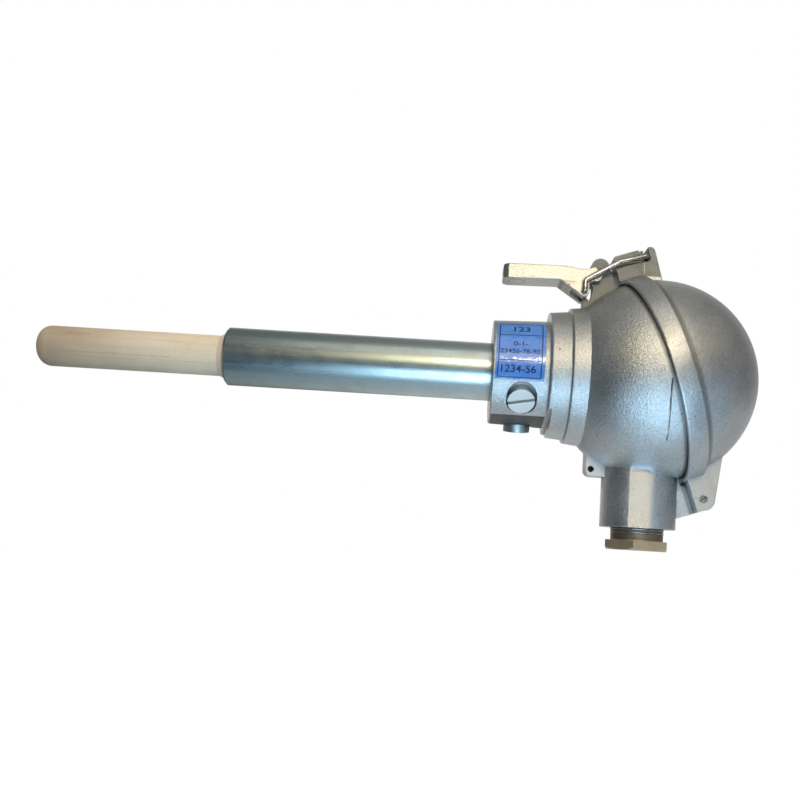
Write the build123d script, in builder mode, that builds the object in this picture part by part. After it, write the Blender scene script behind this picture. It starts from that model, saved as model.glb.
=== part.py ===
# Industrial thermometer: a die-cast connection head with a hinged dome cover and a lever latch,
# clamped on a steel holding tube that carries a ceramic protection tube.
# The frame: X runs along the tube towards the head, Z is up, and the cable entry points down.
# The origin is on the tube's axis, at the face of the head's collar that the tube enters.
import os
from math import acos, atan2, cos, degrees, radians, sin, sqrt, tan
from build123d import *

os.makedirs("parts", exist_ok=True)

# The tubes
nominal_length = 172.0
steel_tube_length = 100.3
steel_tube_r = 11.0
steel_tube_wall = 2.0
steel_tube_engagement = 21.0
steel_tube_seat_r = 10.5
steel_tube_bevel = 0.8
ceramic_r = 7.7
ceramic_wall = 2.4
ceramic_tip_radius = 5.0
ceramic_engagement = 32.0
cement_lip = 2.6
rod_r = 4.2
rod_bore_offset = 1.9
rod_tip_gap = 9.0
wire_r = 0.75
wire_gap = 0.08
wire_tail = 2.0
wire_bend_r = 2.0
junction_width = 2.5
junction_thickness = 1.5

# The head's collar and rings, each with its draft
collar_length = 20.9
collar_r_mouth = 19.6
collar_r_root = 20.3
ring_1_end = 28.4
ring_1_r_front = 23.7
ring_1_r_back = 24.4
ring_2_end = 35.2
ring_2_r_front = 25.6
ring_2_r_back = 26.3
edge_round = 0.5
tube_seat_gap = 0.05

# The bowl and the dome are one sphere, cut by a tilted plane
sphere_u = 62.2
sphere_r = 38.2
casting_wall = 3.2
split_tilt = 19.5
rim_face_n = -1.2
chamber_floor_u = 38.0

# The cover's band and seat, measured along the split plane's normal
band_front_n = -2.0
band_back_n = 5.4
band_wall = 1.25
band_bevel = 0.6
skirt_gap = 0.75
seat_gap = 0.3
gasket_r_in = 35.8
gasket_r_out = 37.4
gasket_depth = 1.4

# The cover's hinge below
hinge_n = 2.3
hinge_d = -47.6
hinge_pin_r = 1.5
hinge_hub_r = 4.3
base_lug_half = 4.0
lug_notch_n = -3.0
lug_nose_angle = 70.0
hinge_side_gap = 0.3
ear_thickness = 5.2
pin_running_gap = 0.05
ear_front_n = -1.2
ear_root_n = 14.6
ear_root_d = -33.0
ear_foot_angle = -20.0
pin_inset = 0.3
pin_slot = 0.5
pin_slot_depth = 0.8
pin_slot_turn = 40.0

# The cable entry
boss_u = 58.1
boss_r = 14.1
boss_bottom = 56.0
gland_thread_r = 9.75
gland_thread_depth = 9.0
gland_neck = 4.7
gland_hex_flats = 22.0
gland_hex_turn = 15.0
gland_hex_height = 3.6
gland_hex_bevel = 30.0
gland_bore_r = 6.0
gland_thread_gap = 0.03
seal_height = 5.0
seal_bore_r = 5.2
washer_height = 1.0
washer_bore_r = 6.3
entry_throat_r = 7.5
entry_throat_depth = 28.0

# The web beside the boss, with its sealing hole
web_left_u = 37.2
web_bottom = 37.6
web_round = 2.4
web_hole_u = 39.2
web_hole_v = -35.0
web_hole_r = 1.15
web_hole_depth = 6.0

# The latch lever and its pivot on the base
latch_u = 37.8
latch_v = 38.4
latch_pin_r = 1.2
latch_lug_half = 2.8
lever_half = 6.0
lever_side_gap = 0.3
lever_hub_r = 2.2
handle_tip_u = 2.6
handle_end_u = 26.0
handle_top_v = 41.4
handle_tip_top_v = 41.2
handle_bottom_v = 35.8
handle_bend_u = 24.0
handle_bend_v = 36.2
handle_round = 0.7
handle_tip_bevel = 1.8
fork_depth = 9.2
fork_height = 15.6
crank_dip_u = 33.2
crank_dip_v = 40.4
crank_round = 5.0
crank_heel_u = 30.8
crank_heel_v = 31.7
heel_round = 1.0
lever_end_u = 37.5
lever_end_v = 41.7
bail_eye_u = 33.5
bail_eye_v = 31.9
eye_wall = 0.8
lever_throat_v = 35.2
eye_round = 0.5
pivot_wall = 1.0
stop_rib_u = 33.5
stop_rib_v = 30.3
stop_rib_width = 1.3
lug_neck_u = 37.0
lug_neck_bottom_v = 32.3
lug_neck_top_v = 35.0
pivot_low_v = 36.0
pivot_high_v = 41.6
hump_start_u = 36.6
hump_start_v = 44.2
hump_u = 39.6
hump_v = 46.0
hump_d = 48.2

# The bail wire
bail_r = 1.0
bail_arm_y = 7.2
bail_bend_u = 33.6
bail_bend_v = 36.0
bail_knee_u = 46.5
bail_knee_v = 43.9
bail_hook_n = 10.7
bail_bend_r = 1.15
bail_hook_d = 45.9
bail_hook_reach = 4.4
bail_eye_gap = 0.06
bail_groove_gap = 0.35

# The cover's catch, across which the bail is drawn
catch_half = 5.1
catch_core_half = 2.4
catch_front_n = -2.1
catch_gap = 1.6
catch_top_d = 49.6
catch_lip_n = 12.05
catch_mouth = 1.6
catch_round = 1.3
catch_lip_end_n = 14.5
catch_lip_foot_n = 13.6
catch_lip_round = 2.0
catch_release_angle = 20.0

# The clamp screws in the collar
clamp_u = 11.2
clamp_angles = (41.0, 104.0)
clamp_thread_r = 3.0
clamp_head_r = 5.1
clamp_head_height = 3.2
clamp_seats = (16.4, 18.9)
clamp_slot = 1.3
clamp_slot_depth = 1.6
clamp_slot_turn = 12.0
clamp_recess_gap = 0.4
clamp_recess_run = 2.4
clamp_flat_angle = 77.0
clamp_flat_distance = 19.0

# The terminal block inside the head
block_r = 20.5
block_height = 8.0
block_standoff = 2.0
block_bore_gap = 0.15
block_screw_pitch = 33.0
block_screw_r = 2.0
block_screw_head_r = 3.6
block_screw_head = 2.6
block_foot_r = 4.5
terminal_length = 14.0
terminal_width = 7.5
terminal_height = 7.0
terminal_y = 8.8
terminal_screw_pitch = 8.0
terminal_screw_r = 1.5
terminal_screw_head_r = 2.6
terminal_screw_head = 2.0
screw_bite = 5.0
screw_slot = 0.8
lead_bore_r = 1.3

# The blue plate wrapped on the collar
label_u = 1.8
label_width = 17.6
label_thickness = 0.15
label_from = -68.0
label_to = 20.0

# The side view of the whole part, and the same view turned to the tilted split
side = Plane.XZ
tilt = radians(split_tilt)
split_normal = (cos(tilt), 0, sin(tilt))
split_side = Plane(origin=(sphere_u, 0, 0), x_dir=split_normal, z_dir=(0, -1, 0))
split_axis = Axis((sphere_u, 0, 0), split_normal)
split_plane = Plane(origin=(sphere_u, 0, 0), z_dir=split_normal)


def from_split(n, d):
    """A point given along and across the split's normal, as a point of the side view."""
    return (sphere_u + n * cos(tilt) - d * sin(tilt), n * sin(tilt) + d * cos(tilt))


def on_circle(center, radius, angle):
    """A point on a circle of either side view, by its angle in degrees."""
    return (center[0] + radius * cos(radians(angle)), center[1] + radius * sin(radians(angle)))


def out_of_axis(u, angle, distance):
    """A plane facing out from the tube's axis, turned from the front towards the underside."""
    out_y = -cos(radians(angle))
    out_z = -sin(radians(angle))
    origin = (u, out_y * distance, out_z * distance)
    return Plane(origin=origin, x_dir=(1, 0, 0), z_dir=(0, out_y, out_z))


def finish(piece, name):
    """Label a finished piece and write it out."""
    piece.part.label = name
    export_step(piece.part, f"parts/{name}.step")


# Sizes and places that follow from the driving ones
cavity_r = sphere_r - casting_wall
skirt_r = sphere_r + skirt_gap
band_r = skirt_r + band_wall
hinge_u, hinge_v = from_split(hinge_n, hinge_d)
tube_bore_r = steel_tube_seat_r + tube_seat_gap
tube_inner_r = steel_tube_r - steel_tube_wall
block_seat_u = chamber_floor_u + block_standoff
block_top_u = block_seat_u + block_height
terminal_top_u = block_top_u + terminal_height
gland_thread_top = boss_bottom - gland_thread_depth
seal_bottom = gland_thread_top - washer_height
seal_top = seal_bottom - seal_height
ear_inner = base_lug_half + hinge_side_gap
ear_outer = ear_inner + ear_thickness
lug_bottom_d = hinge_d - hinge_hub_r
hook_angle = degrees(atan2(bail_hook_d - hinge_d, bail_hook_n - hinge_n))
swing_r = sqrt((bail_hook_n - hinge_n) ** 2 + (bail_hook_d - hinge_d) ** 2)
swing_end_angle = degrees(acos((catch_front_n - bail_r - hinge_n) / swing_r))
lug_edge_n = band_front_n - catch_gap

# The head's base: collar, rings and bowl are one turned form, cut by the tilted plane
with BuildPart() as head_base:
    bowl_start_u = sphere_u - sqrt(sphere_r**2 - ring_2_r_back**2)
    with BuildSketch(side):
        with BuildLine():
            FilletPolyline(
                (0, 0),
                (0, collar_r_mouth),
                (collar_length, collar_r_root),
                (collar_length, ring_1_r_front),
                (ring_1_end, ring_1_r_back),
                (ring_1_end, ring_2_r_front),
                (bowl_start_u, ring_2_r_back),
                radius=edge_round,
            )
            ThreePointArc(
                (bowl_start_u, ring_2_r_back),
                on_circle((sphere_u, 0), sphere_r, 90),
                (sphere_u + sphere_r, 0),
            )
            Line((sphere_u + sphere_r, 0), (0, 0))
        make_face()
    revolve(axis=Axis.X)
    with BuildSketch(Plane.XY.offset(-boss_bottom)):
        with Locations((boss_u, 0)):
            Circle(boss_r)
    extrude(amount=boss_bottom)
    split(bisect_by=split_plane.offset(rim_face_n), keep=Keep.BOTTOM)
    # The web left of the boss
    with BuildSketch(side):
        with BuildLine():
            FilletPolyline(
                (boss_u, -ring_1_r_front),
                (web_left_u, -ring_1_r_front),
                (web_left_u, -web_bottom),
                (boss_u, -web_bottom),
                radius=[0, web_round],
            )
            Line((boss_u, -web_bottom), (boss_u, -ring_1_r_front))
        make_face()
    extrude(amount=base_lug_half, both=True)
    # The hinge lug right of the boss, which passes below the cover's band
    lug_start_n = band_front_n - boss_r
    lug_step_d = -band_r - hinge_side_gap
    hub = (hinge_n, hinge_d)
    with BuildSketch(split_side):
        with BuildLine():
            Polyline(
                on_circle(hub, hinge_hub_r, -90),
                (lug_start_n, lug_bottom_d),
                (lug_start_n, -cavity_r),
                (lug_notch_n, -cavity_r),
                (lug_notch_n, lug_step_d),
                on_circle(hub, hinge_hub_r, lug_nose_angle),
            )
            ThreePointArc(
                on_circle(hub, hinge_hub_r, lug_nose_angle),
                on_circle(hub, hinge_hub_r, 0),
                on_circle(hub, hinge_hub_r, -90),
            )
        make_face()
    extrude(amount=base_lug_half, both=True)
    # The latch lug on top: a stop rib, the pivot's bulge and the hump above it
    hump_end = from_split(lug_edge_n, hump_d)
    pivot_back_u = latch_u - latch_pin_r - pivot_wall
    with BuildSketch(side):
        with BuildLine():
            Polyline(
                from_split(lug_edge_n, cavity_r),
                (stop_rib_u, ring_1_r_front),
                (stop_rib_u, stop_rib_v),
                (stop_rib_u + stop_rib_width, stop_rib_v),
                (stop_rib_u + 2 * stop_rib_width, stop_rib_v - stop_rib_width),
                (lug_neck_u, lug_neck_bottom_v),
                (lug_neck_u, lug_neck_top_v),
                (pivot_back_u, pivot_low_v),
                (pivot_back_u, pivot_high_v),
                (hump_start_u, hump_start_v),
            )
            ThreePointArc((hump_start_u, hump_start_v), (hump_u, hump_v), hump_end)
            Line(hump_end, from_split(lug_edge_n, cavity_r))
        make_face()
    extrude(amount=latch_lug_half, both=True)
    # The chamber and the tube's seat
    floor_r = sqrt(cavity_r**2 - (sphere_u - chamber_floor_u) ** 2)
    with BuildSketch(side):
        with BuildLine():
            Polyline(
                (sphere_u + cavity_r, 0),
                (0, 0),
                (0, tube_bore_r),
                (steel_tube_engagement, tube_bore_r),
                (steel_tube_engagement, tube_inner_r),
                (chamber_floor_u, tube_inner_r),
                (chamber_floor_u, floor_r),
            )
            ThreePointArc(
                (chamber_floor_u, floor_r), (sphere_u, cavity_r), (sphere_u + cavity_r, 0)
            )
        make_face()
    revolve(axis=Axis.X, mode=Mode.SUBTRACT)
    # The cable entry: the gland's thread, then a narrower throat into the chamber
    for radius, depth in ((gland_thread_r + gland_thread_gap, boss_bottom - seal_top),
                          (entry_throat_r, entry_throat_depth)):
        with BuildSketch(Plane.XY.offset(-boss_bottom)):
            with Locations((boss_u, 0)):
                Circle(radius)
        extrude(amount=depth, mode=Mode.SUBTRACT)
    # The bores across the lugs
    for spot, radius in (((hinge_u, hinge_v), hinge_pin_r + pin_running_gap),
                         ((latch_u, latch_v), latch_pin_r)):
        with BuildSketch(side):
            with Locations(spot):
                Circle(radius)
        extrude(amount=base_lug_half, both=True, mode=Mode.SUBTRACT)
    with BuildSketch(side.offset(base_lug_half)):
        with Locations((web_hole_u, web_hole_v)):
            Circle(web_hole_r)
    extrude(amount=-web_hole_depth, mode=Mode.SUBTRACT)
    # The feet that carry the terminal block, with their threads
    with BuildSketch(Plane.YZ.offset(chamber_floor_u)):
        with GridLocations(block_screw_pitch, 1, 2, 1):
            Circle(block_foot_r)
    extrude(amount=block_standoff)
    with BuildSketch(Plane.YZ.offset(block_seat_u)):
        with GridLocations(block_screw_pitch, 1, 2, 1):
            Circle(block_screw_r)
    extrude(amount=-screw_bite, mode=Mode.SUBTRACT)
    # The flat below, and the recess and thread of each clamp screw
    with BuildSketch(out_of_axis(clamp_u, clamp_flat_angle, clamp_flat_distance)):
        Rectangle(2 * clamp_u - edge_round, 2 * collar_r_root)
    extrude(amount=collar_r_root, mode=Mode.SUBTRACT)
    for angle, seat in zip(clamp_angles, clamp_seats):
        with BuildSketch(out_of_axis(clamp_u, angle, seat)):
            recess_width = 2 * (clamp_head_r + clamp_recess_gap)
            with Locations((0, clamp_recess_run / 2)):
                SlotOverall(recess_width + clamp_recess_run, recess_width, rotation=90)
        extrude(amount=collar_r_root - seat + edge_round, mode=Mode.SUBTRACT)
        with BuildSketch(out_of_axis(clamp_u, angle, 0)):
            Circle(clamp_thread_r)
        extrude(amount=seat, mode=Mode.SUBTRACT)
finish(head_base, "head_base")

# The cover: a dome with a band that skirts the base's rim, two hinge ears and the catch
with BuildPart() as head_cover:
    seat_n = rim_face_n + seat_gap
    seat_inner_r = sqrt(cavity_r**2 - seat_n**2)
    dome_foot = (band_back_n, sqrt(sphere_r**2 - band_back_n**2))
    with BuildSketch(split_side):
        with BuildLine():
            Line((cavity_r, 0), (sphere_r, 0))
            ThreePointArc((sphere_r, 0), on_circle((0, 0), sphere_r, 45), dome_foot)
            FilletPolyline(
                dome_foot,
                (band_back_n, band_r),
                (band_front_n, band_r),
                (band_front_n, skirt_r),
                (seat_n, skirt_r),
                (seat_n, gasket_r_out),
                (seat_n + gasket_depth, gasket_r_out),
                (seat_n + gasket_depth, gasket_r_in),
                (seat_n, gasket_r_in),
                (seat_n, seat_inner_r),
                radius=[band_bevel, band_bevel, 0, 0, 0, 0, 0, 0],
            )
            ThreePointArc((seat_n, seat_inner_r), on_circle((0, 0), cavity_r, 45), (cavity_r, 0))
        make_face()
    revolve(axis=split_axis)
    ear_foot = on_circle(hub, hinge_hub_r, ear_foot_angle)
    ear_toe = on_circle(hub, hinge_hub_r, -90)
    for start in (ear_inner, -ear_outer):
        with BuildSketch(split_side.offset(start)):
            with BuildLine():
                Polyline(
                    ear_toe,
                    (ear_front_n, lug_bottom_d + edge_round),
                    (ear_front_n, -skirt_r),
                    (band_back_n, -cavity_r),
                    (ear_root_n, ear_root_d),
                    ear_foot,
                )
                ThreePointArc(ear_foot, on_circle(hub, hinge_hub_r, -55), ear_toe)
            make_face()
            with Locations(hub):
                Circle(hinge_pin_r, mode=Mode.SUBTRACT)
        extrude(amount=ear_thickness)
    # The catch: a barrel-shaped block, a groove for the bail's hooks and a lip behind it
    with BuildSketch(split_side):
        with BuildLine():
            FilletPolyline(
                (catch_front_n, skirt_r),
                (catch_front_n, catch_top_d),
                (catch_lip_n - catch_mouth, catch_top_d),
                (catch_lip_n - catch_mouth, bail_hook_d),
                (bail_hook_n, bail_hook_d - bail_r - bail_groove_gap),
                (catch_lip_n, bail_hook_d),
                (catch_lip_n, catch_top_d),
                (catch_lip_end_n, catch_top_d),
                (catch_lip_foot_n, skirt_r - casting_wall),
                (band_back_n, cavity_r),
                radius=[catch_round, 0, 0, 0, 0, 0, catch_lip_round, 0],
            )
            Line((band_back_n, cavity_r), (catch_front_n, skirt_r))
        make_face()
    extrude(amount=catch_half, both=True)
    # The groove widens beside the core, so that the hooks lift out and the cover swings past them
    release = radians(catch_release_angle)
    groove_r = bail_r + bail_groove_gap
    mouth_top_d = catch_top_d + bail_r
    mouth_lean = (mouth_top_d - bail_hook_d) * tan(release)
    for start in (catch_core_half, -catch_half):
        with BuildSketch(split_side.offset(start)):
            with Locations((bail_hook_n, bail_hook_d)):
                Circle(groove_r)
            with BuildLine():
                Polyline(
                    (bail_hook_n + groove_r, bail_hook_d),
                    (bail_hook_n + groove_r, mouth_top_d),
                    (bail_hook_n - groove_r - mouth_lean, mouth_top_d),
                    (bail_hook_n - groove_r, bail_hook_d),
                    close=True,
                )
            make_face()
            with BuildLine():
                outer_start = on_circle(hub, swing_r + groove_r, hook_angle)
                outer_end = on_circle(hub, swing_r + groove_r, swing_end_angle)
                inner_end = on_circle(hub, swing_r - groove_r, swing_end_angle)
                inner_start = on_circle(hub, swing_r - groove_r, hook_angle)
                middle_angle = (hook_angle + swing_end_angle) / 2
                ThreePointArc(
                    outer_start, on_circle(hub, swing_r + groove_r, middle_angle), outer_end
                )
                Line(outer_end, inner_end)
                ThreePointArc(
                    inner_end, on_circle(hub, swing_r - groove_r, middle_angle), inner_start
                )
                Line(inner_start, outer_start)
            make_face()
        extrude(amount=catch_half - catch_core_half, mode=Mode.SUBTRACT)
finish(head_cover, "head_cover")

# The gasket in the cover's groove, resting on the base's rim
with BuildPart() as cover_gasket:
    with BuildSketch(split_plane.offset(rim_face_n)):
        Circle(gasket_r_out)
        Circle(gasket_r_in, mode=Mode.SUBTRACT)
    extrude(amount=seat_gap + gasket_depth)
finish(cover_gasket, "cover_gasket")

# The hinge's spring pin, held by the ears
with BuildPart() as hinge_pin:
    with BuildSketch(side):
        with Locations((hinge_u, hinge_v)):
            Circle(hinge_pin_r)
    pin_half = ear_outer - pin_inset
    extrude(amount=pin_half, both=True)
    for start in (pin_half - pin_slot_depth, -pin_half):
        with BuildSketch(side.offset(start)):
            with Locations((hinge_u, hinge_v)):
                Rectangle(3 * hinge_pin_r, pin_slot, rotation=pin_slot_turn)
        extrude(amount=pin_slot_depth, mode=Mode.SUBTRACT)
finish(hinge_pin, "hinge_pin")

# The latch's pivot pin, held by the base's lug
with BuildPart() as latch_pin:
    with BuildSketch(side):
        with Locations((latch_u, latch_v)):
            Circle(latch_pin_r)
    extrude(amount=lever_half, both=True)
finish(latch_pin, "latch_pin")

# The latch lever: a cast handle, cranked down to a fork that straddles the base's lug
eye = (bail_eye_u, bail_eye_v)
pivot = (latch_u, latch_v)
eye_r = bail_r + bail_eye_gap
with BuildPart() as latch_lever:
    with BuildSketch(side):
        with BuildLine():
            eye_bottom = on_circle(eye, eye_r + eye_wall, -100)
            eye_side = on_circle(eye, eye_r + eye_wall, 0)
            hub_bottom = on_circle(pivot, lever_hub_r, -110)
            hub_top = on_circle(pivot, lever_hub_r, 80)
            ThreePointArc(eye_bottom, on_circle(eye, eye_r + eye_wall, -45), eye_side)
            Polyline(eye_side, (bail_eye_u + eye_r + eye_wall, lever_throat_v), hub_bottom)
            ThreePointArc(hub_bottom, on_circle(pivot, lever_hub_r, -15), hub_top)
            FilletPolyline(
                hub_top,
                (lever_end_u, lever_end_v),
                (crank_dip_u, crank_dip_v),
                (handle_end_u, handle_top_v),
                (handle_tip_u, handle_tip_top_v),
                (handle_tip_u, handle_bottom_v),
                (handle_bend_u, handle_bend_v),
                (crank_heel_u, crank_heel_v),
                eye_bottom,
                radius=[0, crank_round, crank_round, handle_round, handle_round, heel_round,
                        eye_round],
            )
        make_face()
    extrude(amount=lever_half, both=True)
    # The plan view: the handle's tip has bevelled corners
    with BuildSketch(Plane.XY):
        with BuildLine():
            Polyline(
                (handle_tip_u, handle_tip_bevel - lever_half),
                (handle_tip_u + handle_tip_bevel, -lever_half),
                (latch_u + lever_half, -lever_half),
                (latch_u + lever_half, lever_half),
                (handle_tip_u + handle_tip_bevel, lever_half),
                (handle_tip_u, lever_half - handle_tip_bevel),
                close=True,
            )
        make_face()
    extrude(amount=2 * latch_v, mode=Mode.INTERSECT)
    with BuildSketch(side):
        with Locations(pivot):
            Rectangle(2 * fork_depth, 2 * fork_height)
    extrude(amount=latch_lug_half + lever_side_gap, both=True, mode=Mode.SUBTRACT)
    with BuildSketch(side):
        with Locations(pivot):
            Circle(latch_pin_r + pin_running_gap)
        with Locations(eye):
            Circle(eye_r)
    extrude(amount=lever_half, both=True, mode=Mode.SUBTRACT)
finish(latch_lever, "latch_lever")

# The bail: one bent wire, from the lever's eye along both sides to its two hooks on the catch
with BuildPart() as latch_bail:
    hook = from_split(bail_hook_n, bail_hook_d)
    with BuildLine() as bail_path:
        hook_y = bail_arm_y - bail_hook_reach
        right = [
            (hook[0], -hook_y, hook[1]),
            (hook[0], -bail_arm_y, hook[1]),
            (bail_knee_u, -bail_arm_y, bail_knee_v),
            (bail_bend_u, -bail_arm_y, bail_bend_v),
            (bail_eye_u, -bail_arm_y, bail_eye_v),
        ]
        left = [(x, -y, z) for x, y, z in reversed(right)]
        FilletPolyline(*right, *left, radius=bail_bend_r)
    with BuildSketch(Plane(origin=right[0], z_dir=(0, -1, 0))):
        Circle(bail_r)
    sweep(path=bail_path.line)
finish(latch_bail, "latch_bail")

# The two clamp screws: slotted cheese heads whose ends press on the holding tube
for number, (angle, seat) in enumerate(zip(clamp_angles, clamp_seats), start=1):
    with BuildPart() as clamp_screw:
        with BuildSketch(out_of_axis(clamp_u, angle, steel_tube_seat_r)):
            Circle(clamp_thread_r)
        extrude(amount=seat - steel_tube_seat_r)
        with BuildSketch(out_of_axis(clamp_u, angle, seat)):
            Circle(clamp_head_r)
        extrude(amount=clamp_head_height)
        with BuildSketch(out_of_axis(clamp_u, angle, seat + clamp_head_height)):
            Rectangle(3 * clamp_head_r, clamp_slot, rotation=clamp_slot_turn)
        extrude(amount=-clamp_slot_depth, mode=Mode.SUBTRACT)
    finish(clamp_screw, f"clamp_screw_{number}")

# The zinc-plated holding tube, clamped in the collar
with BuildPart() as holding_tube:
    with BuildSketch(Plane.YZ.offset(-steel_tube_length)):
        Circle(steel_tube_r)
    extrude(amount=steel_tube_length)
    with BuildSketch(Plane.YZ):
        Circle(steel_tube_seat_r)
    extrude(amount=steel_tube_engagement)
    with BuildSketch(Plane.YZ.offset(-steel_tube_length)):
        Circle(tube_inner_r)
    extrude(amount=steel_tube_length + steel_tube_engagement, mode=Mode.SUBTRACT)
    mouth = holding_tube.edges().filter_by(GeomType.CIRCLE).group_by(Axis.X)[0]
    chamfer(mouth.sort_by(SortBy.LENGTH)[-1], steel_tube_bevel)
finish(holding_tube, "holding_tube")

# The ceramic protection tube, closed at its tip
ceramic_end_u = ceramic_engagement - steel_tube_length
with BuildPart() as protection_tube:
    with BuildSketch(side):
        inner_r = ceramic_r - ceramic_wall
        tip_u = -nominal_length
        with BuildLine():
            FilletPolyline(
                (tip_u, 0),
                (tip_u, ceramic_r),
                (ceramic_end_u, ceramic_r),
                (ceramic_end_u, inner_r),
                (tip_u + ceramic_wall, inner_r),
                (tip_u + ceramic_wall, 0),
                radius=[ceramic_tip_radius, 0, 0, ceramic_tip_radius - ceramic_wall],
            )
            Line((tip_u + ceramic_wall, 0), (tip_u, 0))
        make_face()
    revolve(axis=Axis.X)
finish(protection_tube, "protection_tube")

# The cement that bonds the ceramic tube into the steel one and ends in a small cone
with BuildPart() as tube_cement:
    with BuildSketch(side):
        with BuildLine():
            Polyline(
                (-steel_tube_length - cement_lip, ceramic_r),
                (-steel_tube_length, tube_inner_r),
                (ceramic_end_u, tube_inner_r),
                (ceramic_end_u, ceramic_r),
                close=True,
            )
        make_face()
    revolve(axis=Axis.X)
finish(tube_cement, "tube_cement")

# The two-bore insulator that carries the element's wires up the tubes
rod_tip_u = ceramic_wall + rod_tip_gap - nominal_length
with BuildPart() as insulator_rod:
    with BuildSketch(Plane.YZ.offset(rod_tip_u)):
        Circle(rod_r)
        with GridLocations(2 * rod_bore_offset, 1, 2, 1):
            Circle(wire_r + wire_gap, mode=Mode.SUBTRACT)
    extrude(amount=block_top_u - rod_tip_u)
finish(insulator_rod, "insulator_rod")

# The two thermocouple wires, from the measuring junction to their terminals
junction_end_u = rod_tip_u - wire_tail
wire_turn_u = block_top_u + terminal_height / 2
wire_end_y = terminal_y + terminal_width / 2
for number, turn in ((1, -1), (2, 1)):
    with BuildPart() as element_wire:
        with BuildLine() as wire_path:
            start = (junction_end_u, turn * rod_bore_offset, 0)
            FilletPolyline(
                start,
                (wire_turn_u, turn * rod_bore_offset, 0),
                (wire_turn_u, turn * wire_end_y, 0),
                radius=wire_bend_r,
            )
        with BuildSketch(Plane(origin=start, z_dir=(1, 0, 0))):
            Circle(wire_r)
        sweep(path=wire_path.line)
    finish(element_wire, f"element_wire_{number}")

# The measuring junction, the weld that joins both wires at the tip
with BuildPart() as measuring_junction:
    with BuildSketch(Plane.YZ.offset(junction_end_u)):
        SlotCenterToCenter(2 * rod_bore_offset, junction_width)
    extrude(amount=-junction_thickness)
finish(measuring_junction, "measuring_junction")

# The brass pressure screw of the cable gland
with BuildPart() as gland_screw:
    with BuildSketch(Plane.XY.offset(-boss_bottom - gland_neck)):
        with Locations((boss_u, 0)):
            Circle(gland_thread_r)
    extrude(amount=gland_neck + gland_thread_depth)
    with BuildSketch(Plane.XY.offset(-boss_bottom - gland_neck)):
        with Locations((boss_u, 0)):
            RegularPolygon(gland_hex_flats / 2, 6, major_radius=False, rotation=gland_hex_turn)
    extrude(amount=-gland_hex_height)
    # The hexagon's corners are turned off below
    corner_r = gland_hex_flats / 2 / cos(radians(30))
    bevel_rise = (corner_r - gland_hex_flats / 2) * tan(radians(gland_hex_bevel))
    hex_bottom = -boss_bottom - gland_neck - gland_hex_height
    with BuildSketch(side):
        with BuildLine():
            Polyline(
                (boss_u + gland_hex_flats / 2, hex_bottom),
                (boss_u + corner_r, hex_bottom),
                (boss_u + corner_r, hex_bottom + bevel_rise),
                close=True,
            )
        make_face()
    revolve(axis=Axis((boss_u, 0, 0), (0, 0, 1)), mode=Mode.SUBTRACT)
    with BuildSketch(Plane.XY.offset(hex_bottom)):
        with Locations((boss_u, 0)):
            Circle(gland_bore_r)
    extrude(amount=gland_hex_height + gland_neck + gland_thread_depth, mode=Mode.SUBTRACT)
finish(gland_screw, "gland_screw")

# The gland's steel washer and the rubber seal that it presses
with BuildPart() as gland_washer:
    with BuildSketch(Plane.XY.offset(-gland_thread_top)):
        with Locations((boss_u, 0)):
            Circle(gland_thread_r)
            Circle(washer_bore_r, mode=Mode.SUBTRACT)
    extrude(amount=washer_height)
finish(gland_washer, "gland_washer")

with BuildPart() as gland_seal:
    with BuildSketch(Plane.XY.offset(-seal_bottom)):
        with Locations((boss_u, 0)):
            Circle(gland_thread_r)
            Circle(seal_bore_r, mode=Mode.SUBTRACT)
    extrude(amount=seal_height)
finish(gland_seal, "gland_seal")

# The ceramic terminal block, on its two feet
with BuildPart() as terminal_block:
    with BuildSketch(Plane.YZ.offset(block_seat_u)):
        Circle(block_r)
        Circle(rod_r + block_bore_gap, mode=Mode.SUBTRACT)
        with GridLocations(block_screw_pitch, 1, 2, 1):
            Circle(block_screw_r + block_bore_gap, mode=Mode.SUBTRACT)
    extrude(amount=block_height)
finish(terminal_block, "terminal_block")

# The screws that hold the block, one in each foot
for number, y in ((1, -block_screw_pitch / 2), (2, block_screw_pitch / 2)):
    with BuildPart() as block_screw:
        with BuildSketch(Plane.YZ.offset(block_seat_u - screw_bite)):
            with Locations((y, 0)):
                Circle(block_screw_r)
        extrude(amount=screw_bite + block_height)
        with BuildSketch(Plane.YZ.offset(block_top_u)):
            with Locations((y, 0)):
                Circle(block_screw_head_r)
        extrude(amount=block_screw_head)
        with BuildSketch(Plane.YZ.offset(block_top_u + block_screw_head)):
            with Locations((y, 0)):
                Rectangle(3 * block_screw_head_r, screw_slot)
        extrude(amount=-block_screw_head / 2, mode=Mode.SUBTRACT)
    finish(block_screw, f"block_screw_{number}")

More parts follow.
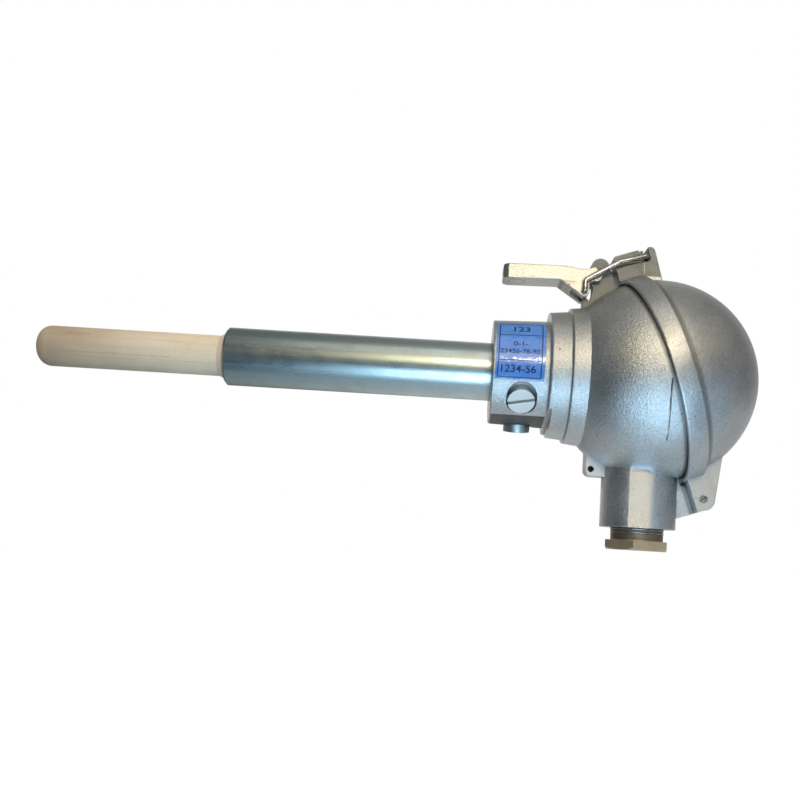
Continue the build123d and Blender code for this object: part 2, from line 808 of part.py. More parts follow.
# The two brass terminals, each with two clamp screws and a bore for its wire
screw_count = 0
for number, y in ((1, -terminal_y), (2, terminal_y)):
    with BuildPart() as terminal:
        with BuildSketch(Plane.YZ.offset(block_top_u)):
            with Locations((y, 0)):
                Rectangle(terminal_width, terminal_length)
        extrude(amount=terminal_height)
        with BuildSketch(Plane.XZ.offset(-y - terminal_width / 2)):
            with Locations((wire_turn_u, 0)):
                Circle(wire_r + wire_gap)
            with Locations((wire_turn_u, -terminal_screw_pitch / 2),
                           (wire_turn_u, terminal_screw_pitch / 2)):
                Circle(lead_bore_r)
        extrude(amount=terminal_width, mode=Mode.SUBTRACT)
        with BuildSketch(Plane.YZ.offset(terminal_top_u)):
            with Locations((y, 0)):
                with GridLocations(1, terminal_screw_pitch, 1, 2):
                    Circle(terminal_screw_r)
        extrude(amount=-terminal_height / 2, mode=Mode.SUBTRACT)
    finish(terminal, f"terminal_{number}")
    for z in (-terminal_screw_pitch / 2, terminal_screw_pitch / 2):
        screw_count += 1
        with BuildPart() as terminal_screw:
            with BuildSketch(Plane.YZ.offset(wire_turn_u + lead_bore_r)):
                with Locations((y, z)):
                    Circle(terminal_screw_r)
            extrude(amount=terminal_height / 2 - lead_bore_r)
            with BuildSketch(Plane.YZ.offset(terminal_top_u)):
                with Locations((y, z)):
                    Circle(terminal_screw_head_r)
            extrude(amount=terminal_screw_head)
            with BuildSketch(Plane.YZ.offset(terminal_top_u + terminal_screw_head)):
                with Locations((y, z)):
                    Rectangle(screw_slot, 3 * terminal_screw_head_r)
            extrude(amount=-terminal_screw_head / 2, mode=Mode.SUBTRACT)
        finish(terminal_screw, f"terminal_screw_{screw_count}")

# The blue plate, bent round the collar's front
collar_draft = (collar_r_root - collar_r_mouth) / collar_length
with BuildPart() as calibration_label:
    with BuildSketch(out_of_axis(0, label_from + 90, 0)):
        with BuildLine():
            label_end_u = label_u + label_width
            inner_start = collar_r_mouth + label_u * collar_draft
            inner_end = collar_r_mouth + label_end_u * collar_draft
            Polyline(
                (label_u, inner_start),
                (label_end_u, inner_end),
                (label_end_u, inner_end + label_thickness),
                (label_u, inner_start + label_thickness),
                close=True,
            )
        make_face()
    revolve(axis=Axis.X, revolution_arc=label_to - label_from)
finish(calibration_label, "calibration_label")
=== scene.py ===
import bmesh
import bpy
from math import cos, radians, sin
from mathutils import Matrix, Vector


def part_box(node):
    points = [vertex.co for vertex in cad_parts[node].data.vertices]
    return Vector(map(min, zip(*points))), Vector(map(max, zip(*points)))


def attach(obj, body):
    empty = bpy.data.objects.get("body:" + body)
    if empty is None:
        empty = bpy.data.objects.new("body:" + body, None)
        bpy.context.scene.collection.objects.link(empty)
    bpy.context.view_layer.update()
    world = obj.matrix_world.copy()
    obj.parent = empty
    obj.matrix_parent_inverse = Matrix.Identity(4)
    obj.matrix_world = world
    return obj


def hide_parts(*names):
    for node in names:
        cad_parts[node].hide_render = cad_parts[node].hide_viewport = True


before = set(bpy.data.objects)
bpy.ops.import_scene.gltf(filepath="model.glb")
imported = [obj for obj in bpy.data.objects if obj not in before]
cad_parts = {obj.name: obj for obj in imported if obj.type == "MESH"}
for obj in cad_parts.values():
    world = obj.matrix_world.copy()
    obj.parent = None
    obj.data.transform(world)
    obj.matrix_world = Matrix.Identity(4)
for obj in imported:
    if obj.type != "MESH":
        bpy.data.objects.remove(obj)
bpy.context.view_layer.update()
scene = bpy.context.scene
scene.view_settings.view_transform = "Standard"

# The camera and the studio. The thermometer is held in the air before a white wall, seen from
# slightly below, and the tube slopes a little down towards the head. Its optical centre is off
# the picture's, so the lens is shifted.


def linked(name, data):
    """A new object in the scene."""
    thing = bpy.data.objects.new(name, data)
    scene.collection.objects.link(thing)
    return thing


camera_data = bpy.data.cameras.new("camera")
camera_data.sensor_width = 36.0
camera_data.lens = 43.19
camera_data.shift_x = -0.065
camera_data.shift_y = 0.056
camera_data.clip_start = 0.01
camera = linked("camera", camera_data)
camera_place = Vector((-0.01294, -0.36128, -0.06441))
camera_azimuth, camera_rise, camera_roll = radians(-0.014), radians(5.646), radians(3.432)
forward = Vector((sin(camera_azimuth) * cos(camera_rise), cos(camera_azimuth) * cos(camera_rise),
                  sin(camera_rise)))
level_right = Vector((cos(camera_azimuth), -sin(camera_azimuth), 0))
level_up = level_right.cross(forward)
right = level_right * cos(camera_roll) + level_up * sin(camera_roll)
up = level_up * cos(camera_roll) - level_right * sin(camera_roll)
camera.matrix_world = Matrix((
    (right.x, up.x, -forward.x, camera_place.x),
    (right.y, up.y, -forward.y, camera_place.y),
    (right.z, up.z, -forward.z, camera_place.z),
    (0, 0, 0, 1),
))
scene.camera = camera


def node_material(name):
    """A new material, with its nodes and its Principled shader."""
    material = bpy.data.materials.new(name)
    material.use_nodes = True
    return material, material.node_tree, material.node_tree.nodes["Principled BSDF"]


def add_node(tree, kind, links=None, **values):
    """A node of a tree, with its properties and sockets set and its inputs linked."""
    node = tree.nodes.new(kind)
    for key, value in values.items():
        setattr(node, key, value)
    for socket, source in (links or {}).items():
        if hasattr(source, "links"):
            tree.links.new(source, node.inputs[socket])
        else:
            node.inputs[socket].default_value = source
    return node


def math(tree, operation, first, second=0.0, clamp=False):
    """One Math node's result."""
    return add_node(tree, "ShaderNodeMath", {0: first, 1: second}, operation=operation,
                    use_clamp=clamp).outputs[0]


def mix_color(tree, factor, first, second, blend="MIX"):
    """Two colours, blended by one Mix node."""
    return add_node(tree, "ShaderNodeMix", {0: factor, 6: first, 7: second}, data_type="RGBA",
                    blend_type=blend).outputs[2]


def ranged(tree, value, low, high, to_low, to_high):
    """One Map Range node's result."""
    return add_node(tree, "ShaderNodeMapRange", {
        "Value": value, "From Min": low, "From Max": high, "To Min": to_low, "To Max": to_high,
    }).outputs["Result"]


def color_ramp(tree, value, low, high, stops):
    """Colours over a value, with stops from 0 at its low end to 1 at its high end."""
    ramp = add_node(tree, "ShaderNodeValToRGB", {"Fac": ranged(tree, value, low, high, 0.0, 1.0)})
    elements = ramp.color_ramp.elements
    for place, color in stops[1:-1]:
        elements.new(place).color = (*color, 1)
    elements[0].color = (*stops[0][1], 1)
    elements[-1].color = (*stops[-1][1], 1)
    return ramp.outputs["Color"]


# The floor is grey for the soft light that it throws back, and white where the camera sees it.
# Where metal mirrors it, it is blue grey in front, pale below the thermometer, white far behind
# and darker at the left.
floor_z = -0.34
floor_half = 6.0
floor_white = 0.9
floor_mesh = bpy.data.meshes.new("studio_floor")
floor_mesh.from_pydata([(x * floor_half, y * floor_half, floor_z)
                        for x, y in ((-1, -1), (1, -1), (1, 1), (-1, 1))], [], [(0, 1, 2, 3)])
floor = linked("studio_floor", floor_mesh)
floor_material, tree, shader = node_material("floor_paint")
shader.inputs["Base Color"].default_value = (0.34, 0.34, 0.34, 1)
shader.inputs["Roughness"].default_value = 0.9
shader.inputs["Specular IOR Level"].default_value = 0.0
rays = add_node(tree, "ShaderNodeLightPath")
mirrored = math(tree, "MAXIMUM", rays.outputs["Is Glossy Ray"],
                rays.outputs["Is Transmission Ray"])
glow = add_node(tree, "ShaderNodeEmission", {
    "Color": (1, 1, 1, 1),
    "Strength": math(tree, "MULTIPLY", rays.outputs["Is Camera Ray"], floor_white),
})
painted = add_node(tree, "ShaderNodeAddShader", {0: shader.outputs[0], 1: glow.outputs[0]})
spot = add_node(tree, "ShaderNodeSeparateXYZ", {
    0: add_node(tree, "ShaderNodeTexCoord").outputs["Object"],
})
paleness = color_ramp(tree, spot.outputs["Y"], -0.30, 2.7, [
    (0.0, (0.14, 0.18, 0.22)), (0.07, (0.44, 0.55, 0.62)), (0.12, (0.52, 0.58, 0.61)),
    (0.18, (0.62, 0.64, 0.64)), (0.32, (0.62, 0.62, 0.60)), (0.60, (0.30, 0.29, 0.27)),
    (1.0, (1.0, 1.0, 1.0)),
])
sideways = color_ramp(tree, spot.outputs["X"], -0.6, 0.6, [
    (0.0, (0.35, 0.35, 0.35)), (0.25, (0.40, 0.40, 0.40)), (0.42, (1.0, 1.0, 1.0)),
    (0.80, (1.0, 1.0, 1.0)), (1.0, (0.8, 0.8, 0.8)),
])
both_ways = add_node(tree, "ShaderNodeVectorMath", {0: paleness, 1: sideways},
                     operation="MULTIPLY")
mirror = add_node(tree, "ShaderNodeEmission", {"Color": both_ways.outputs[0]})
plain = add_node(tree, "ShaderNodeMixShader", {"Fac": mirrored, 1: painted.outputs[0],
                                               2: mirror.outputs[0]})
tree.links.new(plain.outputs[0], tree.nodes["Material Output"].inputs["Surface"])
floor.data.materials.append(floor_material)

# The world is white where the camera looks at it, and white behind the thermometer where metal
# mirrors it. Towards the camera's side the reflections find a dim room: grey overhead, darker to
# the left, pale below. Matt surfaces get a softer, brighter sky.
world = bpy.data.worlds.new("studio")
scene.world = world
world.use_nodes = True
tree = world.node_tree
dim_room = tree.nodes["Background"]
direction = add_node(tree, "ShaderNodeTexCoord")
axes = add_node(tree, "ShaderNodeSeparateXYZ", {0: direction.outputs["Generated"]})
room = color_ramp(tree, axes.outputs["Z"], -1.0, 1.0, [
    (0.0, (0.42, 0.42, 0.42)), (0.30, (0.26, 0.30, 0.33)), (0.50, (0.17, 0.175, 0.18)),
    (0.75, (0.22, 0.22, 0.21)), (1.0, (0.28, 0.29, 0.27)),
])
left_wall = color_ramp(tree, axes.outputs["X"], -0.9, 0.2, [
    (0.0, (0.6, 0.62, 0.66)), (1.0, (1.0, 1.0, 1.0)),
])
behind = ranged(tree, axes.outputs["Y"], 0.60, 1.0, 0.0, 1.0)
mirrored_room = mix_color(tree, behind, mix_color(tree, 1.0, room, left_wall, "MULTIPLY"),
                          (1, 1, 1, 1))
soft_sky = color_ramp(tree, axes.outputs["Z"], -1.0, 1.0, [
    (0.0, (0.30, 0.34, 0.38)), (0.5, (0.32, 0.34, 0.36)), (1.0, (0.95, 0.90, 0.80)),
])
rays = add_node(tree, "ShaderNodeLightPath")
tree.links.new(mix_color(tree, rays.outputs["Is Diffuse Ray"], mirrored_room, soft_sky),
               dim_room.inputs["Color"])
dim_room.inputs["Strength"].default_value = 1.0
white = add_node(tree, "ShaderNodeBackground", {"Color": (1, 1, 1, 1), "Strength": 1.0})
seen = add_node(tree, "ShaderNodeMixShader", {"Fac": rays.outputs["Is Camera Ray"],
                                              1: dim_room.outputs[0], 2: white.outputs[0]})
tree.links.new(seen.outputs[0], tree.nodes["World Output"].inputs["Surface"])

# Six lamps: a warm window above the camera with its glint, a high window over it, blue daylight
# from below, and weak daylight and a weak window at the right
head_middle = Vector((0.03, 0, 0))
for name, place, size, power, tint in (
    ("warm_window", (0.035, -0.34, 0.15), (0.22, 0.16), 0.24, (1.0, 0.79, 0.38)),
    ("window_glint", (0.06, -0.36, 0.143), (0.11, 0.034), 0.20, (1.0, 0.95, 0.86)),
    ("high_window", (0.02, -0.25, 0.38), (0.34, 0.26), 0.21, (1.0, 0.93, 0.80)),
    ("blue_daylight", (0.04, -0.28, -0.207), (0.22, 0.21), 0.57, (0.52, 0.79, 1.0)),
    ("right_daylight", (0.44, -0.26, -0.14), (0.18, 0.12), 0.10, (0.62, 0.82, 1.0)),
    ("right_window", (0.32, -0.18, 0.24), (0.16, 0.14), 0.03, (1.0, 0.82, 0.55)),
):
    lamp_data = bpy.data.lights.new(name, "AREA")
    lamp_data.shape = "RECTANGLE"
    lamp_data.size, lamp_data.size_y = size
    lamp_data.energy = power
    lamp_data.color = tint
    lamp = linked(name, lamp_data)
    lamp.location = place
    lamp.visible_camera = False
    lamp.rotation_mode = "QUATERNION"
    lamp.rotation_quaternion = (head_middle - Vector(place)).to_track_quat("-Z", "Y")

# The head's base: a pressure die casting in aluminium, tumbled and blasted to a fine grain, with
# the collar, two rings, the bowl, the cable boss and the lugs in one piece. Handling has rubbed
# its edges bright, and its hollows keep a little grime, darkened further by painted shade.


def new_group(name, inputs, outputs, kind="ShaderNodeTree"):
    """A node group, with its interface and its end nodes."""
    group = bpy.data.node_groups.new(name, kind)
    for in_out, sockets in (("INPUT", inputs), ("OUTPUT", outputs)):
        for label, socket_kind in sockets:
            group.interface.new_socket(name=label, in_out=in_out,
                                       socket_type="NodeSocket" + socket_kind)
    return group, group.nodes.new("NodeGroupInput"), group.nodes.new("NodeGroupOutput")


def noise(tree, vector, scale, detail=2.0, roughness=0.5):
    """One Noise node's value."""
    return add_node(tree, "ShaderNodeTexNoise", {
        "Vector": vector, "Scale": scale, "Detail": detail, "Roughness": roughness,
    }).outputs["Fac"]


# Grain of a blasted casting: fine grain, a soft orange-peel and scattered pits
pit_depth = 0.6
cast_grain, ends_in, ends_out = new_group(
    "cast_grain", [("Vector", "Vector"), ("Grain Scale", "Float")],
    [("Height", "Float"), ("Tone", "Float"), ("Pit", "Float")])
fine = noise(cast_grain, ends_in.outputs["Vector"], ends_in.outputs["Grain Scale"], 3.0, 0.6)
peel = noise(cast_grain, ends_in.outputs["Vector"], 1150.0, 1.5)
cells = add_node(cast_grain, "ShaderNodeTexVoronoi", {
    "Vector": ends_in.outputs["Vector"], "Scale": 260.0,
})
pit_spots = ranged(cast_grain, cells.outputs["Distance"], 0.04, 0.10, 1.0, 0.0)
pit_chance = math(cast_grain, "LESS_THAN", add_node(
    cast_grain, "ShaderNodeSeparateColor", {0: cells.outputs["Color"]}
).outputs[0], 0.22)
pit = math(cast_grain, "MULTIPLY", math(cast_grain, "MULTIPLY", pit_spots, pit_chance),
           pit_depth)
grain = math(cast_grain, "ADD", math(cast_grain, "MULTIPLY", fine, 0.55),
             math(cast_grain, "MULTIPLY", peel, 0.45))
cast_grain.links.new(math(cast_grain, "SUBTRACT", grain, pit), ends_out.inputs["Height"])
cloud = noise(cast_grain, ends_in.outputs["Vector"], 70.0, 3.0, 0.6)
cast_grain.links.new(cloud, ends_out.inputs["Tone"])
cast_grain.links.new(pit, ends_out.inputs["Pit"])

# Worn edges and hollows, found from the shape round each point, for wear, grime and painted shade
worn_edge, ends_in, ends_out = new_group(
    "worn_edge", [("Round", "Float"), ("Hollow Reach", "Float")],
    [("Normal", "Vector"), ("Edge", "Float"), ("Hollow", "Float")])
soft = add_node(worn_edge, "ShaderNodeBevel", {"Radius": ends_in.outputs["Round"]}, samples=6)
surface = add_node(worn_edge, "ShaderNodeNewGeometry")
agree = add_node(worn_edge, "ShaderNodeVectorMath", {
    0: soft.outputs[0], 1: surface.outputs["Normal"],
}, operation="DOT_PRODUCT")
worn_edge.links.new(soft.outputs[0], ends_out.inputs["Normal"])
worn_edge.links.new(ranged(worn_edge, agree.outputs["Value"], 0.998, 0.90, 0.0, 1.0),
                    ends_out.inputs["Edge"])
shade = add_node(worn_edge, "ShaderNodeAmbientOcclusion", {
    "Distance": ends_in.outputs["Hollow Reach"],
}, samples=6, only_local=False)
worn_edge.links.new(ranged(worn_edge, shade.outputs["AO"], 0.75, 0.25, 0.0, 1.0),
                    ends_out.inputs["Hollow"])

# A box-shaped zone of the piece, with soft sides
box_zone, ends_in, ends_out = new_group(
    "box_zone", [("Vector", "Vector"), ("Low", "Vector"), ("High", "Vector"),
                 ("Low Soft", "Vector"), ("High Soft", "Vector")], [("Zone", "Float")])
sides = []
for edge, soft_edge in (("Low", "Low Soft"), ("High", "High Soft")):
    apart = add_node(box_zone, "ShaderNodeVectorMath", {
        0: ends_in.outputs["Vector"], 1: ends_in.outputs[edge],
    }, operation="SUBTRACT")
    share = add_node(box_zone, "ShaderNodeVectorMath", {
        0: apart.outputs[0], 1: ends_in.outputs[soft_edge],
    }, operation="DIVIDE")
    sides.append(add_node(box_zone, "ShaderNodeSeparateXYZ", {0: share.outputs[0]}))
zone = None
for axis in "XYZ":
    rising = ranged(box_zone, sides[0].outputs[axis], 0.0, 1.0, 0.0, 1.0)
    falling = ranged(box_zone, sides[1].outputs[axis], -1.0, 0.0, 1.0, 0.0)
    both = math(box_zone, "MULTIPLY", rising, falling)
    zone = both if zone is None else math(box_zone, "MULTIPLY", zone, both)
box_zone.links.new(zone, ends_out.inputs["Zone"])

# A scratch that runs straight when seen from the photographed side
scratch_stray = 0.0006
side_scratch, ends_in, ends_out = new_group(
    "side_scratch", [("Vector", "Vector"), ("Start", "Vector"), ("End", "Vector"),
                     ("Width", "Float")], [("Scratch", "Float")])
wander = add_node(side_scratch, "ShaderNodeTexNoise", {
    "Vector": ends_in.outputs["Vector"], "Scale": 400.0, "Detail": 3.0,
})
shifted = add_node(side_scratch, "ShaderNodeVectorMath", {
    0: wander.outputs["Color"], 1: (0.5, 0.5, 0.5),
}, operation="SUBTRACT")
strayed = add_node(side_scratch, "ShaderNodeVectorMath", {
    0: shifted.outputs[0], 1: [scratch_stray] * 3, 2: ends_in.outputs["Vector"],
}, operation="MULTIPLY_ADD")
flat_way = []
for source in (strayed.outputs[0], ends_in.outputs["End"]):
    apart = add_node(side_scratch, "ShaderNodeVectorMath", {
        0: source, 1: ends_in.outputs["Start"],
    }, operation="SUBTRACT")
    flat_way.append(add_node(side_scratch, "ShaderNodeVectorMath", {
        0: apart.outputs[0], 1: (1.0, 0.0, 1.0),
    }, operation="MULTIPLY").outputs[0])
along = add_node(side_scratch, "ShaderNodeVectorMath", {0: flat_way[0], 1: flat_way[1]},
                 operation="DOT_PRODUCT").outputs["Value"]
reach = add_node(side_scratch, "ShaderNodeVectorMath", {0: flat_way[1], 1: flat_way[1]},
                 operation="DOT_PRODUCT").outputs["Value"]
share = math(side_scratch, "DIVIDE", along, reach, clamp=True)
nearest = add_node(side_scratch, "ShaderNodeVectorMath", {0: flat_way[1], "Scale": share},
                   operation="SCALE").outputs[0]
distance = add_node(side_scratch, "ShaderNodeVectorMath", {0: flat_way[0], 1: nearest},
                    operation="DISTANCE").outputs["Value"]
line = math(side_scratch, "SUBTRACT", 1.0,
            math(side_scratch, "DIVIDE", distance, ends_in.outputs["Width"]), clamp=True)
front = math(side_scratch, "LESS_THAN", add_node(
    side_scratch, "ShaderNodeSeparateXYZ", {0: ends_in.outputs["Vector"]}).outputs["Y"], 0.0)
broken = ranged(side_scratch, wander.outputs["Fac"], 0.38, 0.55, 0.35, 1.0)
side_scratch.links.new(math(side_scratch, "MULTIPLY", math(side_scratch, "MULTIPLY", line, front),
                            broken), ends_out.inputs["Scratch"])


def use_group(tree, group, **links):
    """A group's node in a material."""
    return add_node(tree, "ShaderNodeGroup", {
        label.replace("_", " "): source for label, source in links.items()}, node_tree=group)


def box_mask(tree, place, low, high, low_soft=0.0002, high_soft=0.0002):
    """The zone between two corners, given in millimetres."""
    return use_group(tree, box_zone, Vector=place, Low=[c / 1000 for c in low],
                     High=[c / 1000 for c in high], Low_Soft=[low_soft] * 3,
                     High_Soft=[high_soft] * 3).outputs["Zone"]


def scratch_mask(tree, place, points, width):
    """A scratch through points of the side view, given in millimetres."""
    total = 0.0
    for start, end in zip(points, points[1:]):
        total = math(tree, "MAXIMUM", total, use_group(
            tree, side_scratch, Vector=place, Start=(start[0] / 1000, 0, start[1] / 1000),
            End=(end[0] / 1000, 0, end[1] / 1000), Width=width / 1000).outputs["Scratch"])
    return total


# A casting's marks are given in millimetres. Its zones are patches of painted light and shade.
# A zone has its low and high corner, its tone, its strength and its added roughness. A facet has
# its two corners and the way that it faces. The rim is a strip of painted shade beside the head's
# slanting split, with four distances from the split: where the shade starts, is full, starts to
# fade and ends.
split_middle = (0.0622, 0.0, 0.0)
split_tilt = radians(19.5)
grain_depth = 0.00038


def cast_material(name, color, bright, grime_and_shade, roughness, grain_scale, bump, edge_round,
                  zones=(), facet=None, rim=None, scratches=()):
    """Cast aluminium: blasted grain, bright worn edges, grime and painted shade in the hollows,
    and zones of painted light and shade, and a rim strip of painted shade.
    """
    material, tree, shader = node_material(name)
    place = add_node(tree, "ShaderNodeTexCoord").outputs["Object"]
    skin = use_group(tree, cast_grain, Vector=place, Grain_Scale=grain_scale)
    wear = use_group(tree, worn_edge, Round=edge_round, Hollow_Reach=0.004)
    worn = ranged(tree, skin.outputs["Tone"], 0.35, 0.65, 0.88, 1.08)
    speckle = math(tree, "ADD", math(tree, "MULTIPLY", skin.outputs["Tone"], 0.35),
                   math(tree, "MULTIPLY", skin.outputs["Height"], 0.65))
    base = mix_color(tree, ranged(tree, speckle, 0.34, 0.66, 0.0, 1.0),
                     (*[c * 0.70 for c in color], 1), (*[c * 1.20 for c in color], 1))
    # A strip beside the split is darkened by painted shade in the grime colour
    if rim:
        from_split = add_node(tree, "ShaderNodeVectorMath", {
            0: add_node(tree, "ShaderNodeVectorMath", {0: place, 1: split_middle},
                        operation="SUBTRACT").outputs[0],
            1: (cos(split_tilt), 0.0, sin(split_tilt)),
        }, operation="DOT_PRODUCT").outputs["Value"]
        start, full, fading, end = [n / 1000 for n in rim]
        shade = math(tree, "MULTIPLY", ranged(tree, from_split, start, full, 0.0, 1.0),
                     ranged(tree, from_split, fading, end, 1.0, 0.0))
        base = mix_color(tree, math(tree, "MULTIPLY", shade, 0.7), base, (*grime_and_shade, 1))
    dull = 0.0
    # The zones lay patches of painted light and shade
    for low, high, tone, strength, rougher in zones:
        zone = math(tree, "MULTIPLY", box_mask(tree, place, low, high), strength)
        base = mix_color(tree, zone, base, (*tone, 1))
        dull = math(tree, "ADD", dull, math(tree, "MULTIPLY", zone, rougher))
    edged = mix_color(tree, math(tree, "MULTIPLY", wear.outputs["Edge"], 0.7), base,
                      (*bright, 1))
    scratched = 0.0
    for points, width in scratches:
        scratched = math(tree, "MAXIMUM", scratched, scratch_mask(tree, place, points, width))
    # The hollows are darkened by painted shade and grime, the pits and scratches by grime
    shade_and_dirt = math(tree, "MAXIMUM", math(tree, "MULTIPLY", wear.outputs["Hollow"], 0.75),
                 math(tree, "MAXIMUM", skin.outputs["Pit"],
                      math(tree, "MULTIPLY", scratched, 0.75)))
    tree.links.new(mix_color(tree, shade_and_dirt, edged, (*grime_and_shade, 1)), shader.inputs["Base Color"])
    shader.inputs["Metallic"].default_value = 1.0
    gloss = math(tree, "ADD", math(tree, "MULTIPLY", worn, roughness), dull)
    tree.links.new(math(tree, "SUBTRACT", gloss,
                        math(tree, "MULTIPLY", wear.outputs["Edge"], 0.08)),
                   shader.inputs["Roughness"])
    normal = wear.outputs["Normal"]
    if facet:
        low, high, lean = facet
        turned = add_node(tree, "ShaderNodeMix", {
            0: box_mask(tree, place, low, high, high_soft=0.0030), 4: normal, 5: lean,
        }, data_type="VECTOR")
        normal = turned.outputs[1]
    height = math(tree, "SUBTRACT", skin.outputs["Height"], math(tree, "MULTIPLY", scratched, 0.8))
    relief = add_node(tree, "ShaderNodeBump", {
        "Strength": bump, "Distance": grain_depth, "Height": height, "Normal": normal,
    })
    tree.links.new(relief.outputs[0], shader.inputs["Normal"])
    return material


# The base's marks: painted shade darkens the lug of the latch, the flat below the collar and
# a strip beside the split, painted light makes the web and the boss's facet paler, and a long
# scratch runs down the bowl
head_casting = dict(color=(0.66, 0.67, 0.68), bright=(0.85, 0.85, 0.84), grime_and_shade=(0.20, 0.19, 0.18),
                    roughness=0.38, grain_scale=2600.0, edge_round=0.0005)
base_metal = cast_material(
    "cast_base_metal", **head_casting, bump=0.75,
    zones=[((33, -3.1, 24), (50, 3.1, 50), (0.22, 0.23, 0.235), 0.92, 0.1),
           ((0.4, -20, -21), (20.7, 20, -17.1), (0.14, 0.14, 0.135), 1.0, 0.1),
           ((36.5, -4.3, -42), (47, 4.3, -26), (0.84, 0.78, 0.76), 0.85, 0.25),
           ((52.2, -20, -57), (62, -9, -33), (0.62, 0.65, 0.71), 0.6, 0.0)],
    facet=((52.2, -20, -57), (61.5, -9, -33), (0.0, -0.975, 0.22)),
    rim=(-3.4, -2.7, 0.0, 1.0),
    scratches=[([(60.93, -5.0), (60.93, -12.4), (61.48, -19.5), (61.76, -25.3)], 0.34)])


def smooth_copy(node, crease=32.0):
    """A merged copy of a node's mesh, smooth except where its faces meet at a crease."""
    joined = bmesh.new()
    joined.from_mesh(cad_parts[node].data)
    bmesh.ops.remove_doubles(joined, verts=joined.verts, dist=1e-6)
    plain_mesh = bpy.data.meshes.new(node + "_skin")
    vertices = [v.co.copy() for v in joined.verts]
    faces = [[v.index for v in f.verts] for f in joined.faces]
    joined.free()
    plain_mesh.from_pydata(vertices, [], faces)
    plain_mesh.validate()
    plain_mesh.shade_smooth()
    plain_mesh.set_sharp_from_angle(angle=radians(crease))
    return linked(node + "_skin", plain_mesh)


def dress(node, body, material, crease=32.0):
    """A node's smooth copy in its material, which stands for the node."""
    piece = smooth_copy(node, crease)
    piece.data.materials.append(material)
    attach(piece, body)
    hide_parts(node)
    return piece


dress("head_base", "base", base_metal)

# The cover: the same casting as the base, a dome whose band skirts the base's rim, with two ears
# for the hinge and a catch for the wire. Painted shade darkens the catch, painted light makes the
# near ear paler, and painted shade lies along the band's far edge.
cover_metal = cast_material(
    "cast_cover_metal", **head_casting, bump=0.55,
    zones=[((44, -5.6, 34), (56, 5.6, 56), (0.20, 0.21, 0.22), 0.92, 0.1),
           ((56, -5.6, 39.4), (80, 5.6, 56), (0.20, 0.21, 0.22), 0.92, 0.1),
           ((64, -9.8, -62), (98, -9.2, -26), (0.74, 0.67, 0.62), 0.9, 0.25)],
    rim=(5.3, 5.6, 7.0, 8.2))
dress("head_cover", "cover", cover_metal)

# The cover's gasket: a flat ring of black rubber, pressed into the groove that the band's inside
# has for it. Its skin is matt, with a faint pale bloom.
rubber, tree, shader = node_material("black_rubber")
place = add_node(tree, "ShaderNodeTexCoord").outputs["Object"]
bloom = noise(tree, place, 300.0, 4.0, 0.65)
tree.links.new(mix_color(tree, ranged(tree, bloom, 0.4, 0.7, 0.0, 1.0), (0.018, 0.018, 0.018, 1),
                         (0.05, 0.05, 0.048, 1)), shader.inputs["Base Color"])
tree.links.new(ranged(tree, bloom, 0.3, 0.7, 0.55, 0.75), shader.inputs["Roughness"])
relief = add_node(tree, "ShaderNodeBump", {
    "Strength": 0.3, "Distance": 0.0001, "Height": noise(tree, place, 1800.0),
})
tree.links.new(relief.outputs[0], shader.inputs["Normal"])
dress("cover_gasket", "cover", rubber)

# The hinge's and the latch's pins: drawn steel pressed into the castings' eyes, with fine marks
# from drawing along them.


streak_squeeze = 0.02


def plated_material(name, color, shadow, roughness, streak_axis, streak_scale, edge_round,
                    streak_depth=0.25):
    """Drawn or turned metal: fine streaks, small stains, bright worn edges, and grime and painted
    shade in the hollows.
    """
    material, tree, shader = node_material(name)
    place = add_node(tree, "ShaderNodeTexCoord").outputs["Object"]
    stretch = [1.0, 1.0, 1.0]
    stretch[streak_axis] = streak_squeeze
    long_place = add_node(tree, "ShaderNodeMapping", {"Vector": place, "Scale": stretch})
    streak = noise(tree, long_place.outputs[0], streak_scale, 4.0, 0.6)
    stain = noise(tree, place, 160.0, 4.0, 0.62)
    wear = use_group(tree, worn_edge, Round=edge_round, Hollow_Reach=0.003)
    base = mix_color(tree, ranged(tree, stain, 0.42, 0.72, 0.0, 0.8), (*color, 1), (*shadow, 1))
    edged = mix_color(tree, math(tree, "MULTIPLY", wear.outputs["Edge"], 0.5), base,
                      (0.9, 0.89, 0.86, 1))
    # The hollows are darkened by painted shade and grime
    shade_and_dirt = mix_color(tree, math(tree, "MULTIPLY", wear.outputs["Hollow"], 0.6), edged,
                      (0.12, 0.11, 0.10, 1))
    tree.links.new(shade_and_dirt, shader.inputs["Base Color"])
    shader.inputs["Metallic"].default_value = 1.0
    gloss = math(tree, "ADD", ranged(tree, streak, 0.3, 0.7, -0.05, 0.06),
                 ranged(tree, stain, 0.35, 0.75, roughness, roughness + 0.10))
    tree.links.new(gloss, shader.inputs["Roughness"])
    relief = add_node(tree, "ShaderNodeBump", {
        "Strength": streak_depth, "Distance": 0.00003, "Height": streak,
        "Normal": wear.outputs["Normal"],
    })
    tree.links.new(relief.outputs[0], shader.inputs["Normal"])
    return material


pin_steel = plated_material(
    "pin_steel_metal", color=(0.55, 0.54, 0.52), shadow=(0.38, 0.35, 0.31), roughness=0.30,
    streak_axis=1, streak_scale=2500.0, edge_round=0.0003)
dress("hinge_pin", "cover", pin_steel)
dress("latch_pin", "base", pin_steel)

# The latch lever: a small aluminium casting, cranked and forked, which turns on the latch's pin.
# Its skin is rounder and duller than the head's, with a warm tone, and painted shade darkens the
# underside of its handle.


def opened(material):
    """A material's tree, its shader, the place on the piece and the colour so far."""
    tree = material.node_tree
    shader = tree.nodes["Principled BSDF"]
    place = add_node(tree, "ShaderNodeTexCoord").outputs["Object"]
    return tree, shader, place, shader.inputs["Base Color"].links[0].from_socket


